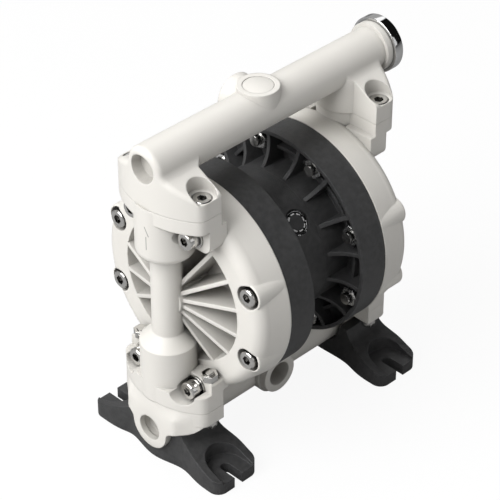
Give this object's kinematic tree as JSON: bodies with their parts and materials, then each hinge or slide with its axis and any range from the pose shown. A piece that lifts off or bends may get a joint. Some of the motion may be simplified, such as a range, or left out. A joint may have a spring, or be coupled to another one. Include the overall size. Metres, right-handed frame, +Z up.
{
  "type": "air operated double diaphragm pump",
  "caption": "Compact plastic diaphragm pump driven by compressed air: two ribbed pumping chambers on a black centre section, with horizontal manifolds above and below, on feet.",
  "frame": {"origin": "centre of the foot slot pattern, on the underside of the feet", "axes": "+Z up; X along the diaphragm shaft and both manifolds, with the discharge port at +X; the suction port and the round air valve plug face -Y"},
  "size_m": [0.2258, 0.1548, 0.2611],
  "materials": {
    "white_polypropylene": "satin moulded polypropylene",
    "black_plastic": "fine textured, glass filled",
    "stainless_steel": "plain stainless steel",
    "chrome_ring": "polished",
    "rubber_black": "smooth moulded",
    "ball_white": "smooth",
    "grey_plastic": "moulded",
    "valve_metal": "machined",
    "muffler_plastic": "porous"
  },
  "bodies": {
    "pump": {"air_cover_left": "black_plastic", "air_cover_right": "black_plastic", "centre_block": "black_plastic", "cover_bolt_washers_left": "stainless_steel", "cover_bolt_washers_right": "stainless_steel", "cover_bolts_left": "stainless_steel", "cover_bolts_right": "stainless_steel", "cover_nut_washers_left": "stainless_steel", "cover_nut_washers_right": "stainless_steel", "cover_nuts_left": "stainless_steel", "cover_nuts_right": "stainless_steel", "discharge_cage_left": "grey_plastic", "discharge_cage_right": "grey_plastic", "discharge_flange_bolts": "stainless_steel", "discharge_manifold": "white_polypropylene", "discharge_seat_left": "grey_plastic", "discharge_seat_right": "grey_plastic", "discharge_seat_seal_left": "rubber_black", "discharge_seat_seal_right": "rubber_black", "fluid_cover_left": "white_polypropylene", "fluid_cover_right": "white_polypropylene", "foot_left": "black_plastic", "foot_right": "black_plastic", "foot_screws_left": "stainless_steel", "foot_screws_right": "stainless_steel", "muffler": "muffler_plastic", "port_ring": "chrome_ring", "shaft_bush_left": "grey_plastic", "shaft_bush_right": "grey_plastic", "shaft_seal_left": "rubber_black", "shaft_seal_right": "rubber_black", "suction_flange_bolts": "stainless_steel", "suction_flange_nuts": "stainless_steel", "suction_manifold": "white_polypropylene", "suction_seat_left": "grey_plastic", "suction_seat_right": "grey_plastic", "suction_seat_seal_left": "rubber_black", "suction_seat_seal_right": "rubber_black", "tie_screws_left": "stainless_steel", "tie_screws_right": "stainless_steel", "valve_plug": "black_plastic", "valve_plug_seal": "rubber_black", "valve_retaining_ring": "stainless_steel", "valve_sleeve": "valve_metal"},
    "shaft_assembly": {"diaphragm_shaft": "stainless_steel", "air_side_plate_left": "grey_plastic", "air_side_plate_right": "grey_plastic", "fluid_side_plate_left": "grey_plastic", "fluid_side_plate_right": "grey_plastic", "diaphragm_left": "rubber_black", "diaphragm_right": "rubber_black"},
    "suction_ball_left": {"suction_ball_left": "ball_white"},
    "suction_ball_right": {"suction_ball_right": "ball_white"},
    "discharge_ball_left": {"discharge_ball_left": "ball_white"},
    "discharge_ball_right": {"discharge_ball_right": "ball_white"},
    "air_valve_spool": {"valve_spool": "valve_metal"}
  },
  "joints": [
    {"name": "shaft_stroke", "type": "slide", "parent": "pump", "child": "shaft_assembly", "axis": [1, 0, 0], "range_m": [-0.007, 0.007], "deforming": ["diaphragm_left", "diaphragm_right"]},
    {"name": "air_valve_slide", "type": "slide", "parent": "pump", "child": "air_valve_spool", "axis": [0, -0.7071, 0.7071], "range_m": [0, 0.005]},
    {"name": "suction_ball_left_lift", "type": "slide", "parent": "pump", "child": "suction_ball_left", "axis": [0, 0, 1], "range_m": [0, 0.006]},
    {"name": "suction_ball_right_lift", "type": "slide", "parent": "pump", "child": "suction_ball_right", "axis": [0, 0, 1], "range_m": [0, 0.006]},
    {"name": "discharge_ball_left_lift", "type": "slide", "parent": "pump", "child": "discharge_ball_left", "axis": [0, 0, 1], "range_m": [0, 0.006]},
    {"name": "discharge_ball_right_lift", "type": "slide", "parent": "pump", "child": "discharge_ball_right", "axis": [0, 0, 1], "range_m": [0, 0.006]}
  ]
}
